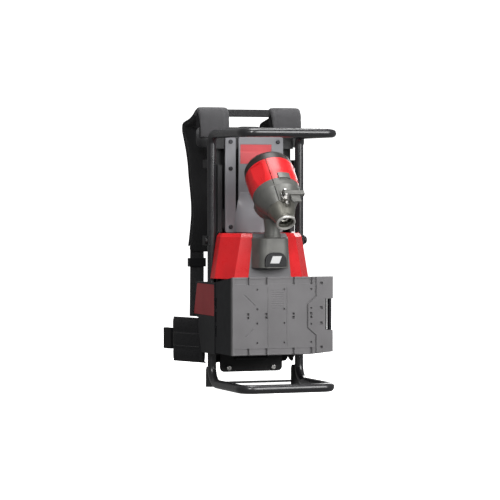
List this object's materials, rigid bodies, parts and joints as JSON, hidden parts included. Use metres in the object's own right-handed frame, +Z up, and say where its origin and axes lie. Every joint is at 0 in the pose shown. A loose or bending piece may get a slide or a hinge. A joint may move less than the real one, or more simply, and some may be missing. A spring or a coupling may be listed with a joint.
{
  "type": "backpack drive unit",
  "caption": "Battery backpack power unit: tube frame, padded harness, slide-on battery, and a swivelling motor head with a quick-release socket for a flexible shaft.",
  "frame": {"origin": "floor level, centre of the object's box in plan", "axes": "+Z up, +Y towards the wearer, the battery and the motor head on the -Y side, +X to the right when looking along +Y"},
  "size_m": [0.36, 0.4594, 0.7065],
  "materials": {
    "frame_tube": "gloss black powder coat",
    "black_plastic": "moulded, fine grain",
    "rubber_black": "matt",
    "plate_grey": "satin grey powder coat",
    "inlay_red": "satin red",
    "label_red": "satin dark red",
    "dock_plastic": "moulded, fine grain",
    "battery_grey": "moulded, fine grain",
    "battery_dark": "moulded, satin",
    "shell_red": "satin red",
    "panel_grey": "moulded, fine grain",
    "case_grey": "painted die casting",
    "cap_black": "moulded, satin",
    "nose_metal": "bead blasted",
    "bright_steel": "bright",
    "dark_steel": "black oxide",
    "bearing_steel": "ground",
    "bronze": "sintered",
    "copper_winding": "laminations with windings",
    "cell_blue": "shrink wrap over the cell's can, mass as a lithium cell",
    "board_green": "solder mask",
    "fabric_black": "woven polyester over foam",
    "fabric_grey": "woven polyester",
    "web_black": "nylon webbing"
  },
  "bodies": {
    "frame": {"frame_posts": "frame_tube", "frame_top_loop": "frame_tube", "frame_bottom_loop": "frame_tube", "rear_feet": "rubber_black", "foot_tie_bar": "frame_tube", "post_clamps": "black_plastic", "side_rails": "dock_plastic", "plate_crossbars": "black_plastic", "back_plate": "plate_grey", "back_strip": "plate_grey", "plate_inlay": "inlay_red", "plate_screws": "dark_steel", "plate_fairing": "plate_grey", "harness_board": "black_plastic", "lower_plate": "black_plastic", "lower_plate_screws": "bright_steel", "dock_shell": "dock_plastic", "dock_back_cover": "dock_plastic", "dock_terminal_block": "black_plastic", "side_covers": "dock_plastic", "label_panels": "label_red", "controller_board": "board_green", "controller_heat_sink": "nose_metal", "housing_left_shell": "shell_red", "housing_right_shell": "shell_red", "housing_centre_panel": "panel_grey", "swivel_base": "case_grey", "swivel_bushes": "bronze", "back_pad": "fabric_black", "shoulder_straps": "fabric_grey", "hip_wings": "fabric_black", "belt_buckles": "black_plastic", "lower_webs": "web_black", "strap_ladder_locks": "black_plastic", "carry_handle": "web_black"},
    "head": {"swivel_post": "case_grey", "motor_left_shell": "shell_red", "motor_right_shell": "shell_red", "gearcase_left": "case_grey", "gearcase_right": "case_grey", "motor_screws": "dark_steel", "tail_cap": "cap_black", "motor_stator": "copper_winding", "spindle_bearings": "bearing_steel", "bearing_carriers": "nose_metal", "coupling_nose": "case_grey", "lever_pivot_pin": "bright_steel", "lever_bracket": "bright_steel"},
    "drive": {"motor_rotor": "bearing_steel", "drive_spindle": "bright_steel", "cooling_fan": "black_plastic"},
    "lever": {"release_lever": "case_grey"},
    "lock_pin": {"lock_pin": "bright_steel"},
    "battery": {"battery_case": "battery_dark", "battery_cover": "battery_grey", "battery_cells": "cell_blue", "battery_cell_holders": "black_plastic", "battery_board": "board_green"},
    "battery_latch": {"battery_latch": "label_red"},
    "lock_button": {"swivel_lock_button": "black_plastic"}
  },
  "joints": [
    {"name": "head_swivel", "type": "hinge", "parent": "frame", "child": "head", "pos_m": [0, -0.09065, 0.38], "axis": [0, 0, 1], "range_deg": [-90, 90]},
    {"name": "drive_spin", "type": "hinge", "parent": "head", "child": "drive", "pos_m": [0, -0.09413, 0.51044], "axis": [0, -0.6947, -0.7193], "continuous": true},
    {"name": "lever_lift", "type": "hinge", "parent": "head", "child": "lever", "pos_m": [-0.004, -0.19381, 0.48784], "axis": [0, -0.6947, -0.7193], "range_deg": [0, 75], "stiffness_Nm_per_rad": 0.05, "springref_deg": -34.38},
    {"name": "lock_pin_slide", "type": "slide", "parent": "head", "child": "lock_pin", "axis": [0, -0.7193, 0.6947], "range_m": [0, 0.006]},
    {"name": "battery_slide", "type": "slide", "parent": "frame", "child": "battery", "axis": [1, 0, 0], "range_m": [0, 0.13]},
    {"name": "battery_latch_press", "type": "slide", "parent": "battery", "child": "battery_latch", "axis": [-1, 0, 0], "range_m": [0, 0.004], "stiffness_N_per_m": 800, "springref_m": -0.003},
    {"name": "swivel_lock_press", "type": "slide", "parent": "frame", "child": "lock_button", "axis": [0, 1, 0], "range_m": [0, 0.003], "stiffness_N_per_m": 1200, "springref_m": -0.004}
  ],
  "couplings": [
    {"joint": "lock_pin_slide", "follows": "lever_lift", "m_per_rad": 0.0038}
  ]
}
